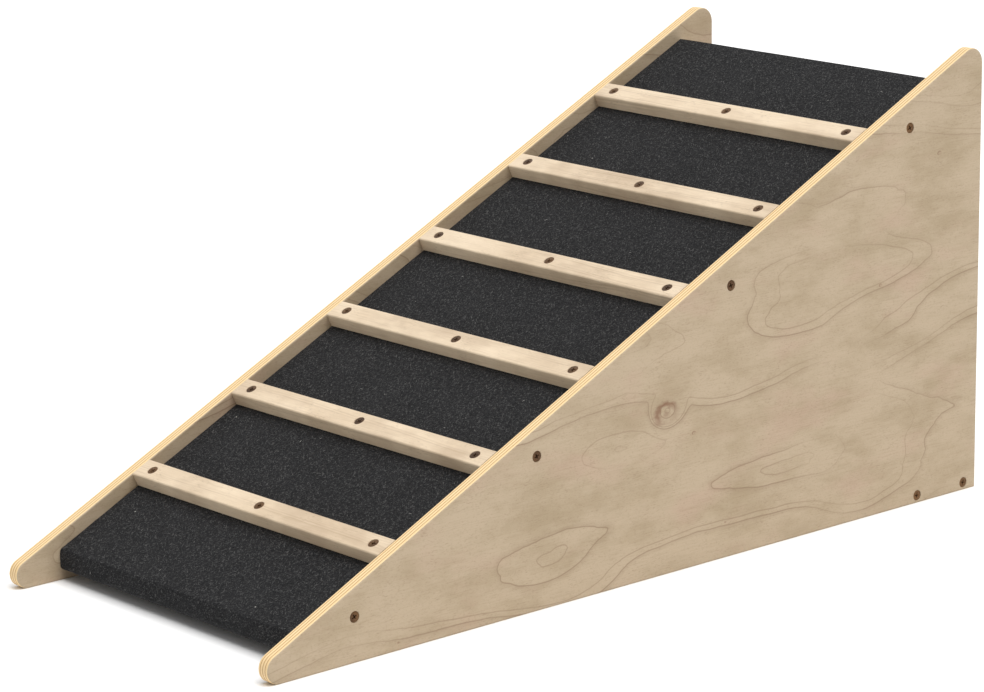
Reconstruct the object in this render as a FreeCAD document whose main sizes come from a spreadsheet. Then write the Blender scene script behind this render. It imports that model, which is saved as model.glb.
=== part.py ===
import FreeCAD, Part
import Sketcher
import os

# Dog ramp: a fixed wedge of two plywood sides with a carpeted, slatted deck screwed between them.
# Millimetres, +Z up, +X from the low end to the high end, +Y to the left when walking up.
# The origin is at the middle of the floor under the ramp's bounding box.
#
# Places along the deck are measured up the slope from the sharp corner that the sides would have
# without their rounded nose ("up"), and square down from the sides' sloping edge ("deep").

doc = FreeCAD.newDocument("dog_ramp")

# ---------------------------------------------------------------- driving dimensions
DIMENSIONS = [
    ("overall_width", 350, "outside to outside of the two sides"),
    ("wedge_run", 850, "sharp front corner to the plumb rear edge"),
    ("wedge_rise", 410, "floor to the sharp top corner"),
    ("panel_thickness", 12, "plywood of the sides"),
    ("nose_radius", 12, "rounding of the sides' front corner"),
    ("top_radius", 14, "rounding of the sides' top corner"),
    ("edge_easing", 1.5, "rounding along the sides' outlines"),
    ("deck_thickness", 12, "plywood of the deck"),
    ("front_setback", 84, "sharp front corner to the carpet's front, level"),
    ("rear_gap", 43, "deck's end to the rear edge, level"),
    ("carpet_thickness", 3, "needle felt"),
    ("carpet_side_gap", 0.5, "carpet edge to each side"),
    ("flap_length", 42, "carpet turned under the front lip"),
    ("slat_width", 21, "up the slope"),
    ("slat_height", 12.5, "above the carpet, flush with the sides' sloping edge"),
    ("slat_easing", 1.5, "rounding of the slats' upper edges"),
    ("first_slat", 189.5, "up the slope to the lowest slat's middle"),
    ("last_slat_margin", 106, "highest slat's middle to the deck's end"),
    ("slat_screw_inset", 16.5, "outer screws to the slat's ends"),
    ("first_deck_screw", 131, "up the slope to the lowest side screw"),
    ("second_deck_screw", 344, "up the slope to the next one"),
    ("third_deck_screw_margin", 302, "the next one to the deck's end"),
    ("last_deck_screw_margin", 60, "highest side screw to the deck's end"),
    ("rail_thickness", 12, "plywood of the rear rail"),
    ("rail_width", 93, "front to back"),
    ("rail_lift", 1, "rail to floor"),
    ("rail_screw_inset", 16, "rail's long edges to its screws"),
    ("screw_head_width", 9.5, "countersunk head"),
    ("screw_shank_width", 4.8, "over the thread"),
    ("screw_rim", 0.4, "straight rim of the head"),
    ("screw_sink", 0.3, "head below the wood"),
    ("screw_point", 5, "length of the point"),
    ("slat_screw_length", 25, "slat, carpet and most of the deck"),
    ("side_screw_length", 40, "side and board edge"),
    ("recess_span", 4.9, "across the cross recess"),
    ("recess_arm", 1.1, "width of a recess arm"),
    ("recess_depth", 2.2, "below the head's face"),
    ("bore_clearance", 0.05, "between a screw and its hole, all round"),
    ("bore_mouth", 2, "how far the hole cutter stands out of the wood"),
    ("staple_crown", 10, "across the staple's back"),
    ("staple_wire", 0.9, "square wire"),
    ("staple_leg", 10, "length of the legs"),
    ("staple_pitch", 40, "between staples"),
    ("staple_inset", 9, "staples to the flap's edge"),
]
SLAT_COUNT = 6
STAPLE_COUNT = 8

sheet = doc.addObject("Spreadsheet::Sheet", "Dims")
sheet.set("A1", "dimension")
sheet.set("B1", "value")
sheet.set("C1", "meaning")
for row, (name, value, meaning) in enumerate(DIMENSIONS, start=2):
    sheet.set(f"A{row}", name)
    sheet.set(f"B{row}", str(value))
    sheet.setAlias(f"B{row}", name)
    sheet.set(f"C{row}", meaning)
doc.recompute()

# ---------------------------------------------------------------- expressions shared by the pieces
D = {name: f"Dims.{name}" for name, _, _ in DIMENSIONS}
SLOPE = f"atan({D['wedge_rise']} / {D['wedge_run']})"
NOSE = f"{D['nose_radius']} * (1 / tan({SLOPE} / 2) - 1)"
MIDDLE = f"(({NOSE} + {D['wedge_run']}) / 2)"
INNER_WIDTH = f"({D['overall_width']} - 2 * {D['panel_thickness']})"
STACK = f"({D['slat_height']} + {D['carpet_thickness']})"
DECK_DEEP = f"({STACK} + {D['deck_thickness']})"
FLAP_DEEP = f"({DECK_DEEP} + {D['carpet_thickness']})"
DECK_END = f"(({D['wedge_run']} - {D['rear_gap']} - {D['slat_height']} * sin({SLOPE})) / cos({SLOPE}))"


def plumb_front(level, deep):
    """Place up the slope, at a depth, of a plumb face that stands at a level distance."""
    return f"(({level} - {deep} * sin({SLOPE})) / cos({SLOPE}))"


def slat_place(index):
    """Place up the slope of a slat's middle: the slats share the deck evenly."""
    last = f"({DECK_END} - {D['last_slat_margin']})"
    return f"({D['first_slat']} + ({last} - {D['first_slat']}) * {index} / {SLAT_COUNT - 1})"


def on_slope(up, deep):
    """Global X and Z of a place on the slope."""
    x = f"({up} * cos({SLOPE}) + {deep} * sin({SLOPE}) - {MIDDLE})"
    z = f"({up} * sin({SLOPE}) - {deep} * cos({SLOPE}))"
    return x, z


def value_of(expression):
    """Number that an expression gives now."""
    result = sheet.evalExpression(expression)
    return float(getattr(result, "Value", result))


# ---------------------------------------------------------------- modelling helpers
def bind(target, **expressions):
    """Bind properties to expressions; a double underscore stands for a dot."""
    for path, expression in expressions.items():
        target.setExpression(path.replace("__", "."), expression)


def turn(target, axis, degrees):
    """Give a piece its turning axis before its angle or place is bound."""
    target.Placement = FreeCAD.Placement(FreeCAD.Vector(0, 0, 0), FreeCAD.Rotation(axis, degrees))


def lay_on_slope(target, x=None, y="0", z="0"):
    """Tilt a piece to the slope and put it at a place, the sharp front corner by default."""
    turn(target, FreeCAD.Vector(0, 1, 0), -1.0)
    bind(
        target,
        Placement__Base__x=x or f"-{MIDDLE}",
        Placement__Base__y=y,
        Placement__Base__z=z,
        Placement__Rotation__Angle=f"-{SLOPE}",
    )


def new_body(name):
    body = doc.addObject("PartDesign::Body", name)
    body.Label = name
    return body


def new_sketch(body, role, name):
    """Sketch on one of the body's own origin planes."""
    sketch = body.newObject("Sketcher::SketchObject", name)
    plane = next(feature for feature in body.Origin.OriginFeatures if feature.Role == role)
    sketch.AttachmentSupport = [(plane, "")]
    sketch.MapMode = "FlatFace"
    return sketch


def draw_outline(sketch, corners):
    """Closed outline of straight lines whose corners are each held by two bound distances."""
    points = [FreeCAD.Vector(value_of(x), value_of(y), 0) for x, y in corners]
    count = len(points)
    first = sketch.GeometryCount
    for index in range(count):
        sketch.addGeometry(Part.LineSegment(points[index], points[(index + 1) % count]))
    for index in range(count):
        line = first + index
        following = first + (index + 1) % count
        sketch.addConstraint(Sketcher.Constraint("Coincident", line, 2, following, 1))
    for index, (x, y) in enumerate(corners):
        line = first + index
        for kind, expression in (("DistanceX", x), ("DistanceY", y)):
            datum = value_of(expression)
            number = sketch.addConstraint(Sketcher.Constraint(kind, -1, 1, line, 1, datum))
            sketch.setExpression(f"Constraints[{number}]", expression)
    return sketch


def rectangle(x_low, x_high, y_low, y_high):
    return [(x_low, y_low), (x_high, y_low), (x_high, y_high), (x_low, y_high)]


def edges_along(shape, direction, keep):
    """Names of the straight edges that run in a direction and pass a test on their middle."""
    names = []
    for number, edge in enumerate(shape.Edges, start=1):
        if edge.Curve.TypeId != "Part::GeomLine":
            continue
        start, end = edge.Vertexes[0].Point, edge.Vertexes[-1].Point
        run = (end - start).normalize()
        if abs(run.dot(direction)) > 0.999 and keep((start + end) * 0.5):
            names.append(f"Edge{number}")
    return names


def round_edges(body, name, names, radius):
    base = body.Tip
    fillet = body.newObject("PartDesign::Fillet", name)
    fillet.Base = (base, names)
    bind(fillet, Radius=radius)
    body.Tip = fillet
    doc.recompute()
    return fillet


def across(body, sketch, name, length):
    """Pad a side outline equally to the left and right of the middle."""
    pad = body.newObject("PartDesign::Pad", name)
    pad.Profile = sketch
    pad.SideType = "Symmetric"
    bind(pad, Length=length)
    doc.recompute()
    return pad


# ---------------------------------------------------------------- screws and their bores
HEAD_FLARE = f"(({D['screw_head_width']} - {D['screw_shank_width']}) / 2)"


def screw_outline(length, grow, top):
    """Half section of a countersunk screw, grown sideways by a clearance, up to a height."""
    head = f"({D['screw_head_width']} / 2 + {grow})"
    shank = f"({D['screw_shank_width']} / 2 + {grow})"
    rim = f"(-{D['screw_sink']} - {D['screw_rim']})"
    tip = f"(-{D['screw_sink']} - {length} - {grow})"
    return [
        ("0", top),
        (head, top),
        (head, rim),
        (shank, f"({rim} - {HEAD_FLARE})"),
        (shank, f"({tip} + {D['screw_point']})"),
        ("0", tip),
    ]


def turned_body(name, outline):
    """Solid of revolution about its own Z axis."""
    body = new_body(name)
    sketch = draw_outline(new_sketch(body, "XZ_Plane", name + "_section"), outline)
    revolution = body.newObject("PartDesign::Revolution", name + "_turned")
    revolution.Profile = sketch
    revolution.ReferenceAxis = (sketch, ["V_Axis"])
    revolution.Angle = 360
    doc.recompute()
    return body


def screw_master(name, length):
    """One screw, its wood surface at Z = 0, with a cross recess in the head."""
    body = turned_body(name, screw_outline(length, "0", f"-{D['screw_sink']}"))
    plain_volume = body.Shape.Volume
    half_span = f"({D['recess_span']} / 2)"
    half_arm = f"({D['recess_arm']} / 2)"
    cross = [
        (half_span, f"-{half_arm}"),
        (half_span, half_arm),
        (half_arm, half_arm),
        (half_arm, half_span),
        (f"-{half_arm}", half_span),
        (f"-{half_arm}", half_arm),
        (f"-{half_span}", half_arm),
        (f"-{half_span}", f"-{half_arm}"),
        (f"-{half_arm}", f"-{half_arm}"),
        (f"-{half_arm}", f"-{half_span}"),
        (half_arm, f"-{half_span}"),
        (half_arm, f"-{half_arm}"),
    ]
    sketch = draw_outline(new_sketch(body, "XY_Plane", name + "_cross"), cross)
    recess = body.newObject("PartDesign::Pocket", name + "_recess")
    recess.Profile = sketch
    bind(recess, Length=f"{D['recess_depth']} + {D['screw_sink']}")
    body.Tip = recess
    doc.recompute()
    if body.Shape.Volume > plain_volume - 1:
        raise RuntimeError(name + ": the recess cut nothing")
    return body


SLAT_SCREW = screw_master("slat_screw", D["slat_screw_length"])
SIDE_SCREW = screw_master("side_screw", D["side_screw_length"])
GROW = D["bore_clearance"]
SLAT_BORE = turned_body("slat_bore", screw_outline(D["slat_screw_length"], GROW, D["bore_mouth"]))
SIDE_BORE = turned_body("side_bore", screw_outline(D["side_screw_length"], GROW, D["bore_mouth"]))


def copy_of(master, name):
    """Another of the same piece, with a place of its own."""
    link = doc.addObject("App::Link", name)
    link.LinkedObject = master
    return link


def place_in_slat(target, index, side):
    """Square to the slope, on a slat's upper face; side is -1, 0 or 1."""
    x, z = on_slope(slat_place(index), "0")
    y = f"{side} * ({INNER_WIDTH} / 2 - {D['slat_screw_inset']})"
    lay_on_slope(target, x, y, z)


def place_in_side(target, side, x, z):
    """Level, head outwards, in a side panel's outer face; side is -1 (right) or 1 (left)."""
    turn(target, FreeCAD.Vector(1, 0, 0), -90.0 * side)
    bind(
        target,
        Placement__Base__x=x,
        Placement__Base__y=f"{side} * {D['overall_width']} / 2",
        Placement__Base__z=z,
    )


def group(name, members):
    """Separate solids kept together as one node."""
    compound = doc.addObject("Part::Compound", name)
    compound.Label = name
    compound.Links = members
    return compound


def cut_bores(name, solid, bores):
    """The named piece: a plain solid with the bores that reach it cut out."""
    piece = doc.addObject("Part::Cut", name)
    piece.Label = name
    piece.Base = solid
    piece.Tool = group(name + "_bores", bores)
    return piece


pieces = []

slat_bores = []
for index in range(SLAT_COUNT):
    screws = []
    bores = []
    for side in (-1, 0, 1):
        tag = f"{index + 1}_{side + 2}"
        screw = copy_of(SLAT_SCREW, f"slat_screw_{tag}")
        bore = copy_of(SLAT_BORE, f"slat_bore_{tag}")
        place_in_slat(screw, index, side)
        place_in_slat(bore, index, side)
        screws.append(screw)
        bores.append(bore)
    slat_bores.append(bores)
    pieces.append(group(f"slat_screws_{index + 1}", screws))

DECK_SCREW_DEEP = f"({STACK} + {D['deck_thickness']} / 2)"
deck_screw_places = [
    D["first_deck_screw"],
    D["second_deck_screw"],
    f"({DECK_END} - {D['third_deck_screw_margin']})",
    f"({DECK_END} - {D['last_deck_screw_margin']})",
]
REAR_X = f"({D['wedge_run']} - {MIDDLE})"
RAIL_SCREW_Z = f"({D['rail_lift']} + {D['rail_thickness']} / 2)"
RAIL_SCREW_X = [
    f"({REAR_X} - {D['rail_width']} + {D['rail_screw_inset']})",
    f"({REAR_X} - {D['rail_screw_inset']})",
]

side_bores = {"right": [], "left": []}
deck_side_bores = []
rail_side_bores = []
for side_name, side in (("right", -1), ("left", 1)):
    sites = [("deck", on_slope(up, DECK_SCREW_DEEP)) for up in deck_screw_places]
    sites += [("rail", (x, RAIL_SCREW_Z)) for x in RAIL_SCREW_X]
    screws = {"deck": [], "rail": []}
    for number, (board, (x, z)) in enumerate(sites, start=1):
        screw = copy_of(SIDE_SCREW, f"side_screw_{side_name}_{number}")
        bore = copy_of(SIDE_BORE, f"side_bore_{side_name}_{number}")
        place_in_side(screw, side, x, z)
        place_in_side(bore, side, x, z)
        screws[board].append(screw)
        side_bores[side_name].append(bore)
        if board == "deck":
            deck_side_bores.append(bore)
        else:
            rail_side_bores.append(bore)
    for board in ("deck", "rail"):
        pieces.append(group(f"{board}_screws_{side_name}", screws[board]))

# ---------------------------------------------------------------- side panels
panel = new_body("side_panel")
outline = draw_outline(
    new_sketch(panel, "XZ_Plane", "side_panel_outline"),
    [("0", "0"), (D["wedge_run"], "0"), (D["wedge_run"], D["wedge_rise"])],
)
across(panel, outline, "side_panel_pad", D["panel_thickness"])
Y_AXIS = FreeCAD.Vector(0, 1, 0)
nose = edges_along(panel.Shape, Y_AXIS, lambda middle: middle.x < 1)
round_edges(panel, "side_panel_nose", nose, D["nose_radius"])
top_height = value_of(D["wedge_rise"]) - 1
top = edges_along(panel.Shape, Y_AXIS, lambda middle: middle.z > top_height)
round_edges(panel, "side_panel_top", top, D["top_radius"])
half_panel = value_of(D["panel_thickness"]) / 2
rim = []
for number, edge in enumerate(panel.Shape.Edges, start=1):
    if all(abs(abs(vertex.Y) - half_panel) < 0.001 for vertex in edge.Vertexes):
        if abs(edge.Vertexes[0].Y - edge.Vertexes[-1].Y) < 0.001:
            rim.append(f"Edge{number}")
round_edges(panel, "side_panel_easing", rim, D["edge_easing"])

for side_name, side in (("right", -1), ("left", 1)):
    blank = copy_of(panel, f"side_panel_{side_name}_blank")
    bind(
        blank,
        Placement__Base__x=f"-{MIDDLE}",
        Placement__Base__y=f"{side} * ({D['overall_width']} - {D['panel_thickness']}) / 2",
    )
    pieces.append(cut_bores(f"side_panel_{side_name}", blank, side_bores[side_name]))

# ---------------------------------------------------------------- deck board
deck_blank = new_body("deck_blank")
BOARD_FRONT = f"({D['front_setback']} + {D['carpet_thickness']})"
deck_outline = draw_outline(
    new_sketch(deck_blank, "XZ_Plane", "deck_outline"),
    [
        (plumb_front(BOARD_FRONT, DECK_DEEP), f"-{DECK_DEEP}"),
        (DECK_END, f"-{DECK_DEEP}"),
        (DECK_END, f"-{STACK}"),
        (plumb_front(BOARD_FRONT, STACK), f"-{STACK}"),
    ],
)
across(deck_blank, deck_outline, "deck_pad", INNER_WIDTH)
lay_on_slope(deck_blank)

# ---------------------------------------------------------------- carpet
CARPET_WIDTH = f"({INNER_WIDTH} - 2 * {D['carpet_side_gap']})"
FLAP_END = f"({plumb_front(BOARD_FRONT, DECK_DEEP)} + {D['flap_length']})"
carpet_blank = new_body("carpet_blank")
carpet_outline = draw_outline(
    new_sketch(carpet_blank, "XZ_Plane", "carpet_outline"),
    [
        (DECK_END, f"-{STACK}"),
        (DECK_END, f"-{D['slat_height']}"),
        (plumb_front(D["front_setback"], D["slat_height"]), f"-{D['slat_height']}"),
        (plumb_front(D["front_setback"], FLAP_DEEP), f"-{FLAP_DEEP}"),
        (FLAP_END, f"-{FLAP_DEEP}"),
        (FLAP_END, f"-{DECK_DEEP}"),
        (plumb_front(BOARD_FRONT, DECK_DEEP), f"-{DECK_DEEP}"),
        (plumb_front(BOARD_FRONT, STACK), f"-{STACK}"),
    ],
)
across(carpet_blank, carpet_outline, "carpet_pad", CARPET_WIDTH)
board_front = value_of(plumb_front(BOARD_FRONT, STACK))
folds = [value_of(D["slat_height"]), value_of(FLAP_DEEP)]
fold_edges = edges_along(
    carpet_blank.Shape,
    Y_AXIS,
    lambda middle: middle.x < board_front and any(abs(middle.z + deep) < 0.01 for deep in folds),
)
round_edges(carpet_blank, "carpet_folds", fold_edges, D["carpet_thickness"])
lay_on_slope(carpet_blank)

# ---------------------------------------------------------------- staples under the front lip
STAPLE_LEG_X = f"(({D['staple_crown']} - {D['staple_wire']}) / 2)"


def staple_body(name, grow, leg_grow):
    """A staple pointing up, its crown under Z = 0; the slot cutter is the same, grown."""
    body = new_body(name)
    half = f"({D['staple_crown']} / 2 + {grow})"
    inner = f"({D['staple_crown']} / 2 - {D['staple_wire']} - {grow})"
    bottom = f"(-{D['staple_wire']} - {leg_grow})"
    top = f"({D['staple_leg']} + {leg_grow})"
    outline = [
        (f"-{half}", bottom),
        (half, bottom),
        (half, top),
        (inner, top),
        (inner, f"{grow}"),
        (f"-{inner}", f"{grow}"),
        (f"-{inner}", top),
        (f"-{half}", top),
    ]
    sketch = draw_outline(new_sketch(body, "YZ_Plane", name + "_outline"), outline)
    across(body, sketch, name + "_pad", f"{D['staple_wire']} + 2 * {grow}")
    return body


STAPLE = staple_body("staple", "0", "0")
STAPLE_SLOT = staple_body("staple_slot", GROW, GROW)
staples = []
slots = []
for index in range(STAPLE_COUNT):
    for master, members in ((STAPLE, staples), (STAPLE_SLOT, slots)):
        link = copy_of(master, f"{master.Name}_{index + 1}")
        up = f"({FLAP_END} - {D['staple_inset']})"
        x, z = on_slope(up, FLAP_DEEP)
        y = f"({index} - {(STAPLE_COUNT - 1) / 2}) * {D['staple_pitch']}"
        lay_on_slope(link, x, y, z)
        members.append(link)
pieces.append(group("flap_staples", staples))

every_slat_bore = [bore for bores in slat_bores for bore in bores]
pieces.append(cut_bores("deck_board", deck_blank, every_slat_bore + deck_side_bores + slots))
pieces.append(cut_bores("carpet", carpet_blank, every_slat_bore + slots))

# ---------------------------------------------------------------- slats
for index in range(SLAT_COUNT):
    name = f"slat_{index + 1}"
    blank = new_body(name + "_blank")
    low = f"(-{D['slat_width']} / 2)"
    high = f"({D['slat_width']} / 2)"
    section = draw_outline(
        new_sketch(blank, "XZ_Plane", name + "_section"),
        rectangle(low, high, f"-{D['slat_height']}", "0"),
    )
    across(blank, section, name + "_pad", INNER_WIDTH)
    upper = edges_along(blank.Shape, Y_AXIS, lambda middle: middle.z > -0.001)
    round_edges(blank, name + "_easing", upper, D["slat_easing"])
    x, z = on_slope(slat_place(index), "0")
    lay_on_slope(blank, x, "0", z)
    pieces.append(cut_bores(name, blank, slat_bores[index]))

# ---------------------------------------------------------------- rear bottom rail
rail_blank = doc.addObject("Part::Box", "rail_blank")
bind(
    rail_blank,
    Length=D["rail_width"],
    Width=INNER_WIDTH,
    Height=D["rail_thickness"],
    Placement__Base__x=f"{REAR_X} - {D['rail_width']}",
    Placement__Base__y=f"-{INNER_WIDTH} / 2",
    Placement__Base__z=D["rail_lift"],
)
pieces.append(cut_bores("rear_bottom_rail", rail_blank, rail_side_bores))

# ---------------------------------------------------------------- check and write
doc.recompute()
for item in doc.Objects:
    if "Invalid" in item.State or "Error" in item.State:
        raise RuntimeError(f"{item.Name} failed: {item.State}")
os.makedirs("parts", exist_ok=True)
for piece in pieces:
    if piece.Shape.isNull() or not piece.Shape.isValid() or not piece.Shape.Solids:
        raise RuntimeError(piece.Label + " has no valid solid")
for piece in pieces:
    piece.Shape.exportStep(f"parts/{piece.Label}.step")
    box = piece.Shape.BoundBox
    print(
        f"{piece.Label}: {len(piece.Shape.Solids)} solids, {piece.Shape.Volume / 1000:.1f} cm3,"
        f" X {box.XMin:.1f} to {box.XMax:.1f}, Y {box.YMin:.1f} to {box.YMax:.1f},"
        f" Z {box.ZMin:.1f} to {box.ZMax:.1f}"
    )
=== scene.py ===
# %% [markdown]
# A dog ramp: plywood sides, a felt-covered deck and six grip slats
#
# The real ramp is a plain piece of joinery. Two plywood triangles stand on edge, a plywood deck is
# screwed between them, a charcoal felt carpet covers the deck, and wooden slats are screwed on top
# so that paws find a grip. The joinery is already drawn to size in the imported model, so this script
# leaves every board where it is. It gives the boards their wood, and makes anew what a drawing can't
# hold: the soft felt with its fibres, and the screws, each turned its own way.

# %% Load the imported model
import math

import bmesh
import bpy
from mathutils import Euler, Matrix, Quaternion, Vector
from mathutils import noise as wobble


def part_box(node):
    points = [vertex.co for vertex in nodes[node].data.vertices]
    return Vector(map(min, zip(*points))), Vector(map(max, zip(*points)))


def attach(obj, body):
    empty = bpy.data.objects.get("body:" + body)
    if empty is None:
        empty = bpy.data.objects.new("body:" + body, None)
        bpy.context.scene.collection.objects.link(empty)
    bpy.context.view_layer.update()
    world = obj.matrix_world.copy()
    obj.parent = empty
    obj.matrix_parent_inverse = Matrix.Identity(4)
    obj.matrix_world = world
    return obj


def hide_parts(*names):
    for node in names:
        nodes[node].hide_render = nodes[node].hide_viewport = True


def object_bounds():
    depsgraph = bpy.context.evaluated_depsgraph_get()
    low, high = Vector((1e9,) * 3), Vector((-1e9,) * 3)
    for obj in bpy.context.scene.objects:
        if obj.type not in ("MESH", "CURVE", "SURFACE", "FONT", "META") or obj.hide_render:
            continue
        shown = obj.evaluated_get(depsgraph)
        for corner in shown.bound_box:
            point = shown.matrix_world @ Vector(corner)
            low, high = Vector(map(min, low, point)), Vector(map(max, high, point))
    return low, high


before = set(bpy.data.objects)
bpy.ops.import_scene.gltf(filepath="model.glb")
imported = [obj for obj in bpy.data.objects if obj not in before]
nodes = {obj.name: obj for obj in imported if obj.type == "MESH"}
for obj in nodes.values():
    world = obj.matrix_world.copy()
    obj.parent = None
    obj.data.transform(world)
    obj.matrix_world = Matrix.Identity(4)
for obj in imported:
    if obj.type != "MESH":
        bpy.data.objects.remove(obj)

cad_low, cad_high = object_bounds()
print("boards and fittings:", len(nodes))

# %% [markdown]
# Measure the slope from the boards
#
# Nearly everything on the ramp is square to its slope, so a pair of directions saves a lot of
# arithmetic: one up the slope, one square out of it. They come from the lowest and the highest slat.
# The helpers give a board's middle, how far it reaches along a direction, and a point on the slope.

# %% Directions and reaches
slat_names = sorted(name for name in nodes if name.startswith("slat_") and "screws" not in name)


def middle_of(name):
    """Middle of a board's box."""
    low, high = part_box(name)
    return (low + high) / 2


climb = middle_of(slat_names[-1]) - middle_of(slat_names[0])
slope = math.atan2(climb.z, climb.x)
uphill = Vector((math.cos(slope), 0, math.sin(slope)))
square = Vector((-math.sin(slope), 0, math.cos(slope)))


def reach(name, direction):
    """Nearest and furthest place of a board along a direction."""
    places = [vertex.co.dot(direction) for vertex in nodes[name].data.vertices]
    return min(places), max(places)


def on_slope(up, out, across=0.0):
    """Point from its places up the slope, square out of it and across the ramp."""
    return uphill * up + square * out + Vector((0, across, 0))


slat_middles = [sum(reach(name, uphill)) / 2 for name in slat_names]
slat_pitch = (slat_middles[-1] - slat_middles[0]) / (len(slat_middles) - 1)
panel_thickness = cad_high.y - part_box("side_panel_left")[0].y
print(f"slope {math.degrees(slope):.2f} degrees, slats {slat_pitch * 1000:.1f} mm apart")

# %% [markdown]
# Small helpers for node trees
#
# A node tree reads best when each node is made, set and linked on one line. `add_node` does that: an
# input that is given another node's socket is linked to it, and any other value is typed in.

# %% Node helpers
def fill_inputs(tree, node, inputs):
    """Link or set a node's inputs by name or number."""
    for name, value in inputs.items():
        if isinstance(value, bpy.types.NodeSocket):
            tree.links.new(value, node.inputs[name])
        else:
            node.inputs[name].default_value = value
    return node


def add_node(tree, kind, inputs=None, **settings):
    """Make a node, set its properties, and link or set its inputs."""
    node = tree.nodes.new(kind)
    for name, value in settings.items():
        setattr(node, name, value)
    return fill_inputs(tree, node, inputs or {})


def maths(tree, operation, *values):
    """Result of a Math node on up to three sockets or numbers."""
    return add_node(tree, "ShaderNodeMath", dict(enumerate(values)), operation=operation).outputs[0]


def times(tree, first, second):
    """Product of two sockets or numbers."""
    return maths(tree, "MULTIPLY", first, second)


def vectors(tree, operation, *values):
    """Result of a Vector Math node; a length is a number, the rest are vectors."""
    node = add_node(tree, "ShaderNodeVectorMath", dict(enumerate(values)), operation=operation)
    return node.outputs[1 if operation == "LENGTH" else 0]


def xyz(tree, x=0.0, y=0.0, z=0.0):
    """Vector made of three sockets or numbers."""
    return add_node(tree, "ShaderNodeCombineXYZ", {0: x, 1: y, 2: z}).outputs[0]


def remap(tree, value, low, high, to_low=0.0, to_high=1.0):
    """Smooth step of a value from one range to another."""
    inputs = {"Value": value, "From Min": low, "From Max": high, "To Min": to_low, "To Max": to_high}
    return add_node(tree, "ShaderNodeMapRange", inputs, interpolation_type="SMOOTHSTEP").outputs[0]


# %% [markdown]
# Helpers for patterns and colours
#
# Every surface is built up in one way. A cloudy or spotted value is narrowed to a mask, and the mask
# lays one colour over another at some strength. `stain` is one such coat.

# %% Pattern helpers
def mix(tree, share, first, second):
    """Blend of two colours."""
    return add_node(tree, "ShaderNodeMix", {0: share, 6: first, 7: second}, data_type="RGBA").outputs[2]


def stain(tree, face, mask, strength, colour, between=None):
    """Coat of colour where a mask is; `between` first narrows the mask to a part of its range."""
    if between:
        mask = remap(tree, mask, *between)
    return mix(tree, times(tree, mask, strength), face, colour)


def stretched(tree, vector, along, across, through):
    """Coordinates scaled on each axis, so that a pattern runs long one way and short another."""
    return vectors(tree, "MULTIPLY", vector, (along, across, through))


def noise(tree, vector, seed, detail=2.0, roughness=0.5, scale=1.0):
    """Cloudy value from 0 to 1 that a seed moves to another place."""
    inputs = {"Vector": vector, "W": seed, "Scale": scale, "Detail": detail, "Roughness": roughness}
    return add_node(tree, "ShaderNodeTexNoise", inputs, noise_dimensions="4D").outputs[0]


def rare_spots(tree, vector, scale, core, rim, rarity):
    """Round spots in the few cells of a pattern whose chance is above the rarity."""
    cells = add_node(tree, "ShaderNodeTexVoronoi", {"Vector": vector, "Scale": scale})
    chance = add_node(tree, "ShaderNodeSeparateColor", {0: cells.outputs["Color"]}).outputs[0]
    spot = remap(tree, cells.outputs["Distance"], core, rim, 1.0, 0.0)
    return times(tree, spot, maths(tree, "GREATER_THAN", chance, rarity))


def tone(red, green, blue):
    """Linear colour from the numbers of a paint chart."""
    shares = [value / 255 for value in (red, green, blue)]
    return tuple([((v + 0.055) / 1.055) ** 2.4 if v > 0.04045 else v / 12.92 for v in shares] + [1.0])


# %% [markdown]
# Helpers for groups, materials and objects
#
# A node group takes numbers and vectors and gives back masks. A material takes a colour, a roughness
# and, where the surface isn't smooth, a bump: its height, its strength and its depth.

# %% Group, material and object helpers
def new_group(name, inputs, outputs):
    """Shader node group; returns its tree, its input sockets and its output node."""
    tree = bpy.data.node_groups.new(name, "ShaderNodeTree")
    for title, default in inputs.items():
        kind = "NodeSocketFloat" if isinstance(default, float) else "NodeSocketVector"
        socket = tree.interface.new_socket(title, in_out="INPUT", socket_type=kind)
        if default is not None:
            socket.default_value = default
    for title in outputs:
        tree.interface.new_socket(title, in_out="OUTPUT", socket_type="NodeSocketFloat")
    return tree, tree.nodes.new("NodeGroupInput").outputs, tree.nodes.new("NodeGroupOutput")


def use_group(tree, group, inputs):
    """Place a node group in a tree and give it its values; returns its output sockets."""
    return add_node(tree, "ShaderNodeGroup", inputs, node_tree=group).outputs


def new_material(name):
    """Empty material with its shader; returns the material, its tree and the shader."""
    material = bpy.data.materials.new(name)
    material.use_nodes = True
    tree = material.node_tree
    tree.nodes.clear()
    output = tree.nodes.new("ShaderNodeOutputMaterial")
    shader = tree.nodes.new("ShaderNodeBsdfPrincipled")
    tree.links.new(shader.outputs[0], output.inputs[0])
    return material, tree, shader


def finish_shader(tree, shader, colour, rough, bump=None, plain=None):
    """Give a shader its colour, its roughness, a bump and any plain values."""
    inputs = {"Base Color": colour, "Roughness": rough, **(plain or {})}
    if bump:
        relief = dict(zip(("Height", "Strength", "Distance"), bump))
        inputs["Normal"] = add_node(tree, "ShaderNodeBump", relief).outputs[0]
    fill_inputs(tree, shader, inputs)


def board_space(tree, turn, middle):
    """Object coordinates turned to a board: X along its grain, Y across, Z through, 0 at its middle."""
    place = tree.nodes.new("ShaderNodeTexCoord").outputs["Object"]
    return add_node(tree, "ShaderNodeMapping", {0: place, "Rotation": turn, "Location": middle}).outputs[0]


def place_object(name, data):
    """Object for a mesh, light or camera, linked to the scene."""
    thing = bpy.data.objects.new(name, data)
    bpy.context.collection.objects.link(thing)
    return thing


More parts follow.
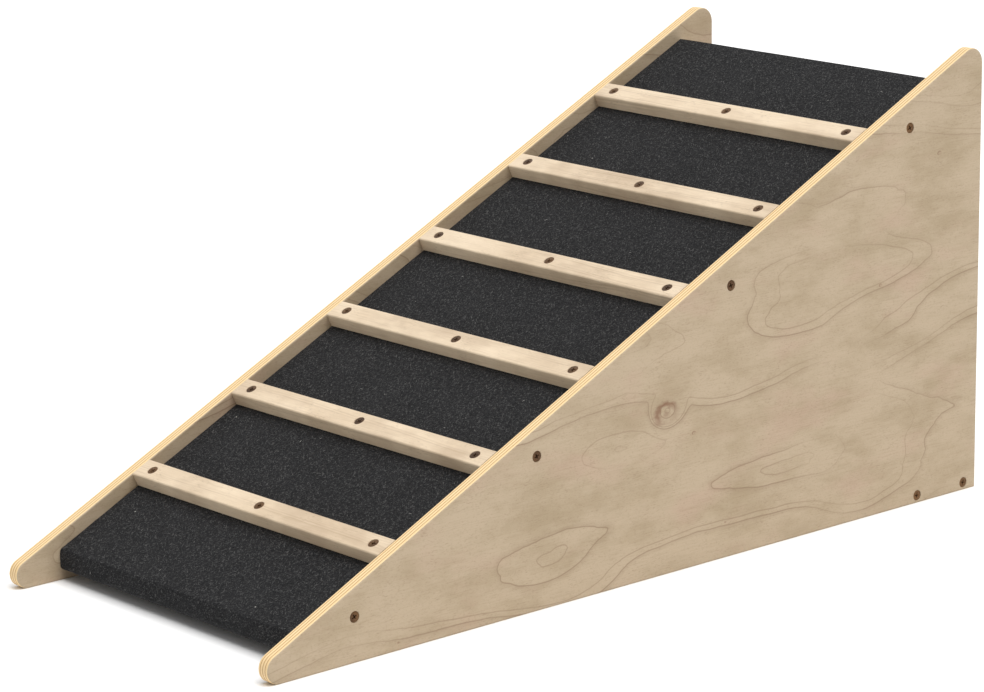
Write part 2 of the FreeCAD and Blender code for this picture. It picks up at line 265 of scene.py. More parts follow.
# %% [markdown]
# Ring lines, shared by every board
#
# Birch for plywood is peeled off the log like paper off a roll, so its growth rings meet the face at
# a flat angle and show as a few wandering lines that close into loops, like the contour lines of a
# map. That is how they are drawn here: `ring_height` is a slow, cloudy height, stretched along the
# grain, and a line lies wherever the height passes a whole number. A knot is a place where a branch
# grew, and the rings part round it, so it is a little hill on that map.

# %% Ring height group
wood_inputs = {"Vector": None, "Seed": 0.0, "Rings": 9.0, "Wander": 5.0}
wood_inputs.update({"Knot": (0.0, 0.0, 0.0), "Knot Size": 0.0})


def from_knot(tree, vector, centre):
    """Vector and distance from a knot's centre; a knot is a little longer along the grain."""
    away = stretched(tree, vectors(tree, "SUBTRACT", vector, centre), 0.75, 1.0, 0.0)
    return away, vectors(tree, "LENGTH", away)


def make_ring_height():
    """Node group: the height whose contour lines are the growth rings, with one knot on it."""
    tree, given, result = new_group("ring_height", wood_inputs, ["Height"])
    flat = stretched(tree, given["Vector"], 1.0, 1.0, 0.0)
    across = add_node(tree, "ShaderNodeSeparateXYZ", {0: flat}).outputs[1]
    slow = noise(tree, stretched(tree, flat, 3.4, 11.0, 0.0), given["Seed"], detail=1.0, roughness=0.4)
    ripple = noise(tree, stretched(tree, flat, 26.0, 55.0, 0.0), given["Seed"], detail=2.0)
    height = times(tree, slow, given["Wander"])
    height = maths(tree, "MULTIPLY_ADD", across, given["Rings"], height)
    height = maths(tree, "MULTIPLY_ADD", ripple, 0.16, height)
    far = from_knot(tree, flat, given["Knot"])[1]
    no_knot = 0.0001
    share = maths(tree, "DIVIDE", far, maths(tree, "MAXIMUM", given["Knot Size"], no_knot))
    hill = times(tree, remap(tree, share, 0.1, 2.4, 1.0, 0.0), 1.5)
    present = maths(tree, "GREATER_THAN", given["Knot Size"], no_knot)
    fill_inputs(tree, result, {"Height": maths(tree, "MULTIPLY_ADD", hill, present, height)})
    return tree


ring_height = make_ring_height()
print("ring height nodes:", len(ring_height.nodes))

# %% [markdown]
# Lines of an even width
#
# A line drawn where a height passes a whole number gets fat wherever the height is nearly level. A
# map maker's trick keeps it thin: the height is read at three places close together, which tells how
# steep it is, and the distance to the line is the difference in height divided by that steepness.
# Each line has a fainter twin beside it, as a slow year and a wet autumn leave in birch. The group
# gives the thin lines, and the soft shade on one side, where a summer's wood darkens towards its end.

# %% Ring line group
def make_ring_lines():
    """Node group: thin contour lines and their one-sided shade."""
    inputs = {**wood_inputs, "Width": 0.0009, "Shade Width": 0.006}
    tree, given, result = new_group("ring_lines", inputs, ["Line", "Shade"])
    step = 0.0004
    shared = {name: given[name] for name in wood_inputs}
    heights = []
    for shift in ((0, 0, 0), (step, 0, 0), (0, step, 0)):
        shared["Vector"] = vectors(tree, "ADD", given["Vector"], shift)
        heights.append(use_group(tree, ring_height, shared)[0])
    along = maths(tree, "SUBTRACT", heights[1], heights[0])
    across = maths(tree, "SUBTRACT", heights[2], heights[0])
    rise = vectors(tree, "LENGTH", xyz(tree, along, across))
    steep = maths(tree, "MAXIMUM", maths(tree, "DIVIDE", rise, step), 4.0)
    above = maths(tree, "FRACT", heights[0])
    below = maths(tree, "SUBTRACT", 1.0, above)
    twin = maths(tree, "ABSOLUTE", maths(tree, "SUBTRACT", above, 0.2))
    first = maths(tree, "DIVIDE", maths(tree, "MINIMUM", above, below), steep)
    second = maths(tree, "DIVIDE", twin, steep)
    width = given["Width"]
    second = times(tree, remap(tree, second, 0.0, width, 1.0, 0.0), 0.8)
    line = maths(tree, "MAXIMUM", remap(tree, first, 0.0, width, 1.0, 0.0), second)
    edge = maths(tree, "DIVIDE", below, steep)
    shade = remap(tree, edge, 0.0, given["Shade Width"], 1.0, 0.0)
    fill_inputs(tree, result, {"Line": line, "Shade": shade})
    return tree


ring_lines = make_ring_lines()
print("ring line nodes:", len(ring_lines.nodes))

# %% [markdown]
# Wood figure
#
# The rest of the wood's figure goes with the lines: slow clouds of tone, a pinkish blush here and
# there, fibres drawn out along the grain, short pores, a fine grit that sanding leaves, and now and
# then a brown speck. Slats are sawn, not peeled, so they use the same group with many more rings and
# less wandering.

# %% Wood figure group
def make_wood_figure():
    """Node group: ring lines, slow clouds, fibres, pores, grit and specks of a wooden surface."""
    masks = ["Line", "Cloud", "Blush", "Fibre", "Pore", "Grit", "Speck"]
    tree, given, result = new_group("wood_figure", wood_inputs, masks)
    vector, seed = given["Vector"], given["Seed"]
    flat = stretched(tree, vector, 1.0, 1.0, 0.0)
    rings = use_group(tree, ring_lines, {name: given[name] for name in wood_inputs})
    strength = remap(tree, noise(tree, stretched(tree, flat, 6.0, 13.0, 0.0), seed, 1.0), 0.32, 0.62)
    line = maths(tree, "MULTIPLY_ADD", rings["Shade"], 0.34, rings["Line"])
    line = times(tree, line, strength)
    cloud = noise(tree, stretched(tree, flat, 13.0, 30.0, 0.0), seed, detail=5.0, roughness=0.62)
    later = maths(tree, "ADD", seed, 7.0)
    blush = noise(tree, stretched(tree, flat, 9.0, 22.0, 3.0), later, detail=4.0, roughness=0.6)
    fibre = noise(tree, stretched(tree, vector, 36.0, 1000.0, 1000.0), seed, detail=2.0, roughness=0.6)
    grit = noise(tree, stretched(tree, vector, 420.0, 800.0, 800.0), seed, detail=2.0, roughness=0.7)
    cell_place = stretched(tree, vector, 150.0, 1000.0, 1000.0)
    cells = add_node(tree, "ShaderNodeTexVoronoi", {"Vector": cell_place, "Scale": 1.0})
    patches = remap(tree, noise(tree, stretched(tree, flat, 40.0, 60.0, 0.0), seed, 1.0), 0.48, 0.66)
    pore = times(tree, remap(tree, cells.outputs["Distance"], 0.12, 0.34, 1.0, 0.0), patches)
    speck = rare_spots(tree, stretched(tree, flat, 22.0, 36.0, 0.0), 1.0, 0.012, 0.045, 0.88)
    fill_inputs(tree, result, dict(zip(masks, (line, cloud, blush, fibre, pore, grit, speck))))
    return tree


wood_figure = make_wood_figure()
print("wood figure nodes:", len(wood_figure.nodes))

# %% [markdown]
# Plies, seen wherever the board is cut
#
# Plywood shows its build on every cut edge: pale layers with the grain running along, and thin darker
# lines between them where the grain runs across and where the glue is. The group works from the depth
# in the board alone. So a square edge, a rounded corner and a screw hole all cut through the same
# layers and show them at the right width, with no picture to line up.

# %% Ply layers group
def make_ply_layers():
    """Node group: masks for the inner plies and for the dark lines between them."""
    inputs = {"Depth": 0.0, "Thickness": 0.012, "Line Count": 4.0, "Veneer": 0.0007, "Waver": 0.5}
    tree, given, result = new_group("ply_layers", inputs, ["Core", "Line", "Band"])
    depth, thickness, veneer = given["Depth"], given["Thickness"], given["Veneer"]
    waver = times(tree, maths(tree, "SUBTRACT", given["Waver"], 0.5), 0.0006)
    moved = maths(tree, "ADD", depth, waver)
    share = maths(tree, "ADD", maths(tree, "DIVIDE", moved, thickness), 0.5)
    skin = maths(tree, "SUBTRACT", times(tree, thickness, 0.5), maths(tree, "ABSOLUTE", depth))
    core = remap(tree, skin, times(tree, veneer, 0.75), veneer)
    step = times(tree, share, given["Line Count"])
    off_line = maths(tree, "ABSOLUTE", maths(tree, "SUBTRACT", maths(tree, "FRACT", step), 0.5))
    off_middle = maths(tree, "ABSOLUTE", maths(tree, "SUBTRACT", share, 0.5))
    inner = remap(tree, off_middle, 0.36, 0.40, 1.0, 0.0)
    line = times(tree, remap(tree, off_line, 0.31, 0.42), inner)
    band = noise(tree, xyz(tree, z=step), 3.0, 0.0)
    fill_inputs(tree, result, {"Core": core, "Line": line, "Band": band})
    return tree


ply_layers = make_ply_layers()
print("ply layer nodes:", len(ply_layers.nodes))

# %% [markdown]
# The heart of a knot
#
# Where the branch itself was cut through, the wood is reddish brown, and darker on one side. The
# group gives a ragged, off-centre crescent and a small centre. Pin knots use the same group at a
# smaller size.

# %% Knot heart group
def make_knot_heart():
    """Node group: mask of a knot's brown heart, stronger on one side."""
    inputs = {"Vector": None, "Centre": (0.0, 0.0, 0.0), "Size": 0.01}
    tree, given, result = new_group("knot_heart", inputs, ["Heart"])
    away, far = from_knot(tree, given["Vector"], given["Centre"])
    ragged = noise(tree, stretched(tree, away, 190.0, 230.0, 0.0), 2.0, detail=3.0)
    share = maths(tree, "DIVIDE", far, given["Size"])
    share = maths(tree, "ADD", share, times(tree, maths(tree, "SUBTRACT", ragged, 0.5), 0.9))
    ring = times(tree, remap(tree, share, 0.45, 0.85), remap(tree, share, 0.9, 1.35, 1.0, 0.0))
    sides = add_node(tree, "ShaderNodeSeparateXYZ", {0: away}).outputs
    lean = maths(tree, "DIVIDE", maths(tree, "SUBTRACT", sides[1], sides[0]), given["Size"])
    ring = times(tree, ring, remap(tree, lean, -1.2, 0.9, 0.2, 1.0))
    centre = times(tree, remap(tree, share, 0.05, 0.5, 1.0, 0.0), 0.55)
    fill_inputs(tree, result, {"Heart": maths(tree, "MAXIMUM", ring, centre)})
    return tree


knot_heart = make_knot_heart()
print("knot heart nodes:", len(knot_heart.nodes))

# %% [markdown]
# Bare birch plywood
#
# The boards are sanded and left bare, so they are matt, a little pink here and a little green there.
# The face veneer is greyer than the layers under it, which are fresh cuts and look like cream. Bump
# stays very low: sanded birch is smooth, and only raking light finds its fibres.

# %% Plywood material
veneer_pale = tone(188, 169, 143)
veneer_dark = tone(171, 152, 124)
veneer_pink = tone(188, 162, 140)
ring_brown = tone(122, 94, 68)
heart_brown = tone(122, 82, 58)
core_cream = tone(243, 220, 176)
core_gold = tone(232, 198, 142)
glue_brown = tone(176, 122, 66)


def plywood(name, turn, middle, seed, knots=()):
    """Plywood whose board coordinates come from a turn and a shift of the object's own."""
    material, tree, shader = new_material(name)
    vector = board_space(tree, turn, middle)
    heart = 0.0
    for centre, size in knots:
        spot = use_group(tree, knot_heart, {"Vector": vector, "Centre": centre, "Size": size})
        heart = maths(tree, "MAXIMUM", spot["Heart"], heart)
    rings = {"Vector": vector, "Seed": seed}
    if knots:
        rings.update({"Knot": knots[0][0], "Knot Size": knots[0][1]})
    figure = use_group(tree, wood_figure, rings)
    depth = add_node(tree, "ShaderNodeSeparateXYZ", {0: vector}).outputs[2]
    waver = noise(tree, stretched(tree, vector, 9.0, 9.0, 0.0), seed + 1, detail=1.0)
    layers = use_group(tree, ply_layers, {"Depth": depth, "Thickness": panel_thickness, "Waver": waver})
    face = mix(tree, remap(tree, figure["Cloud"], 0.30, 0.62), veneer_dark, veneer_pale)
    face = stain(tree, face, figure["Blush"], 0.65, veneer_pink, (0.50, 0.70))
    fine = times(tree, remap(tree, figure["Fibre"], 0.45, 0.75), 0.14)
    face = mix(tree, fine, face, ring_brown)
    face = stain(tree, face, figure["Grit"], 0.22, ring_brown, (0.5, 0.72))
    face = stain(tree, face, figure["Line"], 0.50, ring_brown)
    face = stain(tree, face, figure["Pore"], 0.30, ring_brown)
    marks = maths(tree, "MAXIMUM", heart, times(tree, figure["Speck"], 0.8))
    face = stain(tree, face, marks, 0.70, heart_brown)
    core = mix(tree, layers["Band"], core_cream, core_gold)
    core = stain(tree, core, fine, 0.6, core_gold)
    core = stain(tree, core, layers["Line"], 0.85, glue_brown)
    colour = mix(tree, layers["Core"], face, core)
    rough = remap(tree, figure["Fibre"], 0.3, 0.8, 0.52, 0.70)
    grooves = maths(tree, "ADD", figure["Fibre"], times(tree, figure["Pore"], -0.8))
    grooves = maths(tree, "MULTIPLY_ADD", layers["Line"], -0.5, grooves)
    finish_shader(tree, shader, colour, rough, (grooves, 0.16, 0.0004), {"Specular IOR Level": 0.35})
    return material


# %% [markdown]
# One material for each board
#
# A board's material needs to know which way its grain runs and where its middle is. The near side has
# one knot and three pin knots, given in metres from the middle of the ramp, on the board's own face.

# %% Plywood boards
quarter = math.pi / 2
panel_middle = cad_high.y - panel_thickness / 2
deck_middle = sum(reach("deck_board", square)) / 2
rail_middle = middle_of("rear_bottom_rail").z
side_knots = [((0.0187, 0.1388, 0.0), 0.0095), ((0.0504, 0.1167, 0.0), 0.0016)]
side_knots += [((0.2767, 0.207, 0.0), 0.0014), ((0.350, 0.314, 0.0), 0.0018)]
far_knots = [((-0.12, 0.06, 0.0), 0.008), ((0.33, 0.20, 0.0), 0.0016)]
upright = (-quarter, 0, 0)
board_materials = {
    "side_panel_right": plywood("birch_side_right", upright, (0, 0, -panel_middle), 4.0, side_knots),
    "side_panel_left": plywood("birch_side_left", upright, (0, 0, panel_middle), 9.0, far_knots),
    "deck_board": plywood("birch_deck", (0, slope, 0), (0, 0, -deck_middle), 14.0, far_knots),
    "rear_bottom_rail": plywood("birch_rail", (0, 0, quarter), (0, 0, -rail_middle), 21.0),
}


def finish_node(name, material):
    """Give a packed board its material."""
    slots = nodes[name].data.materials
    slots.clear()
    slots.append(material)


for name, material in board_materials.items():
    finish_node(name, material)
print("plywood boards:", sorted(board_materials))

# %% [markdown]
# Planed slats
#
# The slats are sawn from a solid, close-grained board and planed, with their long edges rounded. Their
# grain runs across the ramp, and it must run through the wood, not over it like wallpaper. So their
# board space is tipped a little about its own grain: the same rings then cross the top and the front
# face at different places, and meet at the rounded edge. Each slat lies somewhere else in that space,
# so no two are alike.

# %% Slat material
slat_pale = tone(235, 215, 186)
slat_warm = tone(217, 195, 165)
slat_ring = tone(164, 138, 110)
slat_grime = tone(146, 124, 98)


def slat_wood():
    """Pale planed wood with its grain across the ramp."""
    material, tree, shader = new_material("planed_slat_wood")
    turn = Euler((0.6, 0, 0)).to_matrix() @ Euler((0, slope, quarter), "XYZ").to_matrix()
    vector = board_space(tree, turn.to_euler("XYZ"), (0, 0, 0))
    figure = use_group(tree, wood_figure, {"Vector": vector, "Seed": 31.0, "Rings": 110.0, "Wander": 2.4})
    face = mix(tree, remap(tree, figure["Cloud"], 0.32, 0.68), slat_warm, slat_pale)
    face = stain(tree, face, figure["Blush"], 0.42, slat_ring, (0.45, 0.66))
    face = stain(tree, face, figure["Fibre"], 0.25, slat_ring, (0.45, 0.78))
    face = stain(tree, face, figure["Grit"], 0.18, slat_ring)
    face = stain(tree, face, figure["Line"], 0.30, slat_ring)
    face = stain(tree, face, figure["Pore"], 0.45, slat_grime)
    rough = remap(tree, figure["Fibre"], 0.3, 0.8, 0.42, 0.60)
    grooves = maths(tree, "MULTIPLY_ADD", figure["Pore"], -0.8, figure["Fibre"])
    finish_shader(tree, shader, face, rough, (grooves, 0.12, 0.0004))
    return material


slat_finish = slat_wood()
for name in slat_names:
    finish_node(name, slat_finish)
print("slats:", len(slat_names))

# %% [markdown]
# The felt carpet
#
# Needle felt is one thick, limp sheet. It lies on the deck, folds round its front edge and is stapled
# underneath, so it is modelled in the way it was laid: a line is drawn along the deck, round the two
# front edges and back under it, the corners are rounded as felt rounds them, and the line is swept
# across the ramp as a closed sheet. Then the felt is let rise a little between the slats, which hold
# it down, and it thins and strays a little along its cut edges.

# %% Felt measures and curves
carpet_top = reach("carpet", square)[1]
deck_bottom, deck_top = reach("deck_board", square)
deck_end = reach("deck_board", uphill)[1]
deck_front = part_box("deck_board")[0].x
felt = carpet_top - deck_top
flap_end = max(v.co.dot(uphill) for v in nodes["carpet"].data.vertices if v.co.dot(square) < deck_bottom)
carpet_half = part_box("carpet")[1].y


def plumb_point(x, out):
    """Place on the slope's profile where a plumb line at x meets a line parallel to the slope."""
    up = (x + out * math.sin(slope)) / math.cos(slope)
    return Vector((up, out))


def rounded(corner, before, after, radius, steps=7):
    """Points of an arc that rounds a corner between two neighbours."""
    first = (before - corner).normalized()
    second = (after - corner).normalized()
    opening = first.angle(second)
    run = radius / math.tan(opening / 2)
    middle = corner + (first + second).normalized() * radius / math.sin(opening / 2)
    start = corner + first * run - middle
    sweep = math.pi - opening
    sign = 1 if first.x * second.y - first.y * second.x < 0 else -1
    arc = []
    for step in range(steps + 1):
        turn = sign * sweep * step / steps
        across = start.x * math.cos(turn) - start.y * math.sin(turn)
        arc.append(middle + Vector((across, start.x * math.sin(turn) + start.y * math.cos(turn))))
    return arc


def even_run(start, end, spacing):
    """Points from start to just before end, about a spacing apart."""
    count = max(1, round((end - start).length / spacing))
    return [start.lerp(end, step / count) for step in range(count)]


# %% [markdown]
# The line runs through the middle of the felt, so its length is the length that was cut. It is short
# runs along the straight parts and arcs at the two folds.

# %% Carpet path
half_felt = felt / 2
fold_radius = half_felt + 0.0010
rear = Vector((deck_end, deck_top + half_felt))
fold = plumb_point(deck_front - half_felt, deck_top + half_felt)
under = plumb_point(deck_front - half_felt, deck_bottom - half_felt)
tail = Vector((flap_end, deck_bottom - half_felt))
first_arc = rounded(fold, rear, under, fold_radius)
second_arc = rounded(under, fold, tail, fold_radius)
path = even_run(rear, first_arc[0], 0.0035) + first_arc[:-1]
path += even_run(first_arc[-1], second_arc[0], 0.003) + second_arc[:-1]
path += even_run(second_arc[-1], tail, 0.004) + [tail]

# %% [markdown]
# Sweeping the sheet
#
# Each point of the line gets a normal, and the sheet's two faces lie half the felt's thickness to
# either side of it. Only the top face is let rise: `swell` is highest midway between slats and
# nothing under one. A few slow waves keep the felt from looking pressed out of metal.

# %% Swell and rows
swell_lift = 0.00055
swell_wave = 0.00025
swell_run = 0.012
edge_run = 0.006
slat_half = (reach(slat_names[0], uphill)[1] - reach(slat_names[0], uphill)[0]) / 2


def swell(up, across):
    """How far the top of the felt rises at a place on the deck."""
    gap = min(abs(up - middle) for middle in slat_middles) - slat_half
    held = min(1.0, max(0.0, gap / swell_run))
    lift = swell_lift * held * held * (3 - 2 * held)
    side = min(1.0, (carpet_half - abs(across)) / edge_run)
    wave = wobble.noise(Vector((up * 14, across * 16, 3.0))) * swell_wave * held
    return (lift + wave) * (0.3 + 0.7 * side)


def sheet_rows(points, side):
    """Outer or inner face of the swept felt: its points and how each row is turned."""
    rows = []
    for place, point in enumerate(points):
        before = points[max(0, place - 1)]
        after = points[min(len(points) - 1, place + 1)]
        along = (after - before).normalized()
        normal = Vector((along.y, -along.x)) * side
        rows.append((point, normal))
    return rows


# %% [markdown]
# The sheet as a grid
#
# The two faces are grids of the same size, and strips along the four edges close the sheet. Faces
# that a fibre may stand on are marked as seen.

# %% Sweep the sheet
across_count = 90
columns = [-1 + 2 * step / across_count for step in range(across_count + 1)]
mesh_points = []
mesh_faces = []
seen = []
row_size = len(columns)
for side in (1, -1):
    for point, normal in sheet_rows(path, side):
        for share in columns:
            stray = wobble.noise(Vector((point.x * 60, point.y * 60, share))) * 0.0003
            across = share * (carpet_half - 0.0002) + (stray if abs(share) == 1 else 0)
            up, out = point + normal * half_felt
            top = side > 0 and normal.y > 0.9
            mesh_points.append(on_slope(up, out + (swell(up, across) if top else 0), across))
row_count = len(path)
back = row_count * row_size
for row in range(row_count - 1):
    for column in range(row_size - 1):
        a = row * row_size + column
        b, c, d = a + 1, a + row_size + 1, a + row_size
        mesh_faces.append((a, b, c, d))
        mesh_faces.append((back + d, back + c, back + b, back + a))
        seen += [True, False]
    left, right = row * row_size, row * row_size + row_size - 1
    mesh_faces.append((left, left + row_size, back + left + row_size, back + left))
    mesh_faces.append((right + row_size, right, back + right, back + right + row_size))
    seen += [True, True]
for column in range(row_size - 1):
    last = (row_count - 1) * row_size + column
    mesh_faces.append((column + 1, column, back + column, back + column + 1))
    mesh_faces.append((last, last + 1, back + last + 1, back + last))
    seen += [True, True]
print("felt grid:", row_count, "by", row_size)

# %% [markdown]
# The grids become one mesh. Its faces are turned outward, and only real folds stay sharp.

# %% Carpet mesh
carpet_mesh = bpy.data.meshes.new("felt_carpet")
carpet_mesh.from_pydata(mesh_points, [], mesh_faces)
carpet_mesh.attributes.new("seen", "BOOLEAN", "FACE").data.foreach_set("value", seen)
form = bmesh.new()
form.from_mesh(carpet_mesh)
bmesh.ops.recalc_face_normals(form, faces=form.faces)
for face in form.faces:
    face.smooth = True
form.to_mesh(carpet_mesh)
form.free()
carpet_mesh.set_sharp_from_angle(angle=math.radians(50))
carpet = place_object("felt_carpet", carpet_mesh)
print("carpet faces:", len(carpet_mesh.polygons))

# %% [markdown]
# What felt looks like
#
# Felt has no weave. Thousands of fibres lie every way, most of them dark, some lighter, and a few
# white. A noise stretched in one direction looks like fibres that all lie one way, so the group adds
# three of them, turned a third of a half turn from each other. Where they cross at their brightest, a
# light fleck shows. Sheen gives the soft rim that brushed fibres have against the light.

# %% Felt fibre group and material
def make_felt_fibres():
    """Node group: crossing fibres, light flecks, rare white lint and slow tone changes of felt."""
    inputs = {"Vector": None, "Length": 250.0}
    tree, given, result = new_group("felt_fibres", inputs, ["Height", "Fleck", "Lint", "Cloud"])
    vector = given["Vector"]
    height = 0.0
    fleck = 0.0
    for number in range(3):
        spin = (0.35, 0.2, number * math.pi / 3 + 0.3)
        turned_place = add_node(tree, "ShaderNodeMapping", {0: vector, "Rotation": spin}).outputs[0]
        scaled = {0: stretched(tree, turned_place, 1.0, 5.0, 3.0), "Scale": given["Length"]}
        sized = add_node(tree, "ShaderNodeVectorMath", scaled, operation="SCALE").outputs[0]
        strand = noise(tree, sized, 5.0 + number, detail=2.0, roughness=0.6)
        height = maths(tree, "ADD", times(tree, strand, 0.33), height)
        fleck = maths(tree, "MAXIMUM", remap(tree, strand, 0.58, 0.74), fleck)
    lint_spots = rare_spots(tree, vector, 60.0, 0.02, 0.05, 0.955)
    cloud = noise(tree, vector, 2.0, detail=3.0, scale=22.0)
    fill_inputs(tree, result, {"Height": height, "Fleck": fleck, "Lint": lint_spots, "Cloud": cloud})
    return tree


felt_fibres = make_felt_fibres()
felt_dark = tone(9, 9, 11)
felt_mid = tone(29, 29, 31)
felt_light = tone(110, 109, 107)
lint_white = tone(176, 174, 168)


def charcoal_felt():
    """Dark grey needle felt with lighter fibres and a little lint."""
    material, tree, shader = new_material("charcoal_felt")
    vector = board_space(tree, (0, slope, 0), (0, 0, 0))
    fibres = use_group(tree, felt_fibres, {"Vector": vector})
    colour = mix(tree, remap(tree, fibres["Height"], 0.40, 0.58), felt_dark, felt_mid)
    colour = stain(tree, colour, fibres["Cloud"], 0.35, felt_mid, (0.4, 0.7))
    colour = stain(tree, colour, fibres["Fleck"], 0.66, felt_light)
    colour = mix(tree, fibres["Lint"], colour, lint_white)
    rough = remap(tree, fibres["Height"], 0.3, 0.7, 0.98, 0.82)
    plain = {"Specular IOR Level": 0.15, "Sheen Weight": 0.06, "Sheen Roughness": 0.5}
    finish_shader(tree, shader, colour, rough, (fibres["Height"], 0.9, 0.0016), plain)
    return material


carpet_finish = charcoal_felt()
carpet_mesh.materials.append(carpet_finish)
print("felt:", carpet_finish.name)

# %% [markdown]
# Loose fibres on the felt
#
# A bump can't break the felt's outline, and on the cut edges and against the light the real one is
# fuzzy. Geometry Nodes strew short, bent fibres over the sheet: points are scattered by density, one
# fibre is copied to each, turned at random and laid almost flat. Every copy is a bent, three-sided
# thread of only eleven faces. Only the faces marked as seen get any, not the underside that lies on
# the deck. The tree ends by making the copies real, and the result is kept as a plain mesh.

# %% Geometry Nodes helpers
def new_tree(title, inputs):
    """Geometry Nodes tree with named inputs; returns it, its input sockets and its output node."""
    tree = bpy.data.node_groups.new(title, "GeometryNodeTree")
    tree.interface.new_socket("Geometry", in_out="INPUT", socket_type="NodeSocketGeometry")
    tree.interface.new_socket("Geometry", in_out="OUTPUT", socket_type="NodeSocketGeometry")
    for name, kind in inputs.items():
        tree.interface.new_socket(name, in_out="INPUT", socket_type="NodeSocket" + kind)
    return tree, tree.nodes.new("NodeGroupInput").outputs, tree.nodes.new("NodeGroupOutput")


def random_turn(tree, lowest, highest, seed):
    """Rotation of its own for every point, between two triples of angles."""
    inputs = {0: lowest, 1: highest, "Seed": seed}
    angles = add_node(tree, "FunctionNodeRandomValue", inputs, data_type="FLOAT_VECTOR").outputs[0]
    return add_node(tree, "FunctionNodeEulerToRotation", {0: angles}).outputs[0]


def turned_by(tree, rotation, turn):
    """Rotation followed by a turn about its own axes."""
    inputs = {0: rotation, 1: turn}
    return add_node(tree, "FunctionNodeRotateRotation", inputs, rotation_space="LOCAL").outputs[0]


def finish_copies(tree, result, placing, material):
    """Copy a form to points, make the copies real, and give them a material."""
    copies = add_node(tree, "GeometryNodeInstanceOnPoints", placing).outputs[0]
    real = add_node(tree, "GeometryNodeRealizeInstances", {0: copies}).outputs[0]
    done = add_node(tree, "GeometryNodeSetMaterial", {"Geometry": real, "Material": material})
    fill_inputs(tree, result, {0: done.outputs[0]})


def bake_tree(base, tree, title, values):
    """Run a tree on an object with its named inputs and keep the result as a plain mesh object."""
    modifier = base.modifiers.new(title, "NODES")
    modifier.node_group = tree
    for item in tree.interface.items_tree:
        if item.in_out == "INPUT" and item.name in values:
            modifier[item.identifier] = values[item.name]
    depsgraph = bpy.context.evaluated_depsgraph_get()
    mesh = bpy.data.meshes.new_from_object(base.evaluated_get(depsgraph), depsgraph=depsgraph)
    base.modifiers.remove(modifier)
    mesh.name = title
    return place_object(title, mesh)


# %% [markdown]
# The tree that strews them
#
# One fibre is a short curve with a bow in it, given three sides. It is copied to points on the felt
# and laid along the surface, tipped up a little at one end, and no two copies have the same size.

# %% Fibre tree
def make_fibre_tree():
    """Tree that strews bent fibres over a mesh."""
    sizes = {"Density": "Float", "Length": "Float", "Thickness": "Float", "Seed": "Int"}
    tree, given, result = new_tree("strewn_fibres", {**sizes, "Finish": "Material"})
    outside = add_node(tree, "GeometryNodeInputNamedAttribute", {"Name": "seen"}, data_type="BOOLEAN")
    where = {"Mesh": given["Geometry"], "Selection": outside.outputs[0]}
    where.update({"Density": given["Density"], "Seed": given["Seed"]})
    spread = add_node(tree, "GeometryNodeDistributePointsOnFaces", where)
    half = times(tree, given["Length"], 0.5)
    bow = times(tree, given["Length"], 0.22)
    bend = {"Resolution": 3, "Start": xyz(tree, times(tree, half, -1.0))}
    bend.update({"Middle": xyz(tree, y=bow, z=bow), "End": xyz(tree, half)})
    thread = add_node(tree, "GeometryNodeCurveQuadraticBezier", bend).outputs[0]
    ring = {"Resolution": 3, "Radius": given["Thickness"]}
    profile = add_node(tree, "GeometryNodeCurvePrimitiveCircle", ring).outputs[0]
    tube = {"Curve": thread, "Profile Curve": profile, "Fill Caps": True}
    fibre = add_node(tree, "GeometryNodeCurveToMesh", tube).outputs[0]
    turn = random_turn(tree, (-0.12, -0.12, -math.pi), (0.30, 0.12, math.pi), given["Seed"])
    lay = turned_by(tree, spread.outputs["Rotation"], turn)
    spans = {2: 0.5, 3: 1.35, "Seed": given["Seed"]}
    size = add_node(tree, "FunctionNodeRandomValue", spans, data_type="FLOAT").outputs[1]
    placing = {"Points": spread.outputs["Points"], "Instance": fibre, "Rotation": lay, "Scale": size}
    finish_copies(tree, result, placing, given["Finish"])
    return tree


fibre_tree = make_fibre_tree()
print("fibre tree nodes:", len(fibre_tree.nodes))

# %% [markdown]
# Two sorts of fibre are strewn: many grey ones, and a few white ones that are lint. Their materials
# use the felt's own group, so a fibre is never one flat colour along its length.

# %% Strew the fibres
def fibre_finish(name, dark, light):
    """Material of loose fibres between two tones."""
    material, tree, shader = new_material(name)
    vector = board_space(tree, (0, slope, 0), (0, 0, 0))
    fibres = use_group(tree, felt_fibres, {"Vector": vector, "Length": 400.0})
    colour = mix(tree, remap(tree, fibres["Height"], 0.35, 0.65), dark, light)
    rough = remap(tree, fibres["Height"], 0.3, 0.7, 0.9, 0.7)
    finish_shader(tree, shader, colour, rough, plain={"Sheen Weight": 0.15})
    return material


grey_fibre = fibre_finish("grey_fibre", tone(24, 24, 26), tone(92, 92, 93))
white_fibre = fibre_finish("white_lint", tone(170, 168, 162), tone(214, 212, 206))
fuzz_values = {"Density": 15000.0, "Length": 0.0028, "Thickness": 0.00007, "Seed": 11, "Finish": grey_fibre}
lint_values = {"Density": 130.0, "Length": 0.0022, "Thickness": 0.00012, "Seed": 23, "Finish": white_fibre}
felt_fuzz = bake_tree(carpet, fibre_tree, "felt_fuzz", fuzz_values)
lint = bake_tree(carpet, fibre_tree, "felt_lint", lint_values)
print("loose fibre faces:", len(felt_fuzz.data.polygons), "lint faces:", len(lint.data.polygons))

# %% [markdown]
# Countersunk wood screws
#
# Thirty screws hold the ramp together: three through each slat, and through each side four into the
# deck and two into the rear rail. The head is a shallow dish on a cone, with a cross for the driver.
# One screw is turned from a profile, as on a lathe, with ridges for its thread. Its head lies at the
# origin and it points down, so a copy sits right as soon as its Z axis is turned out of the wood.

# %% Turning a screw
head_radius = 0.0046
shank_radius = 0.0024
point_length = 0.005
ridge_pitch = 0.0020


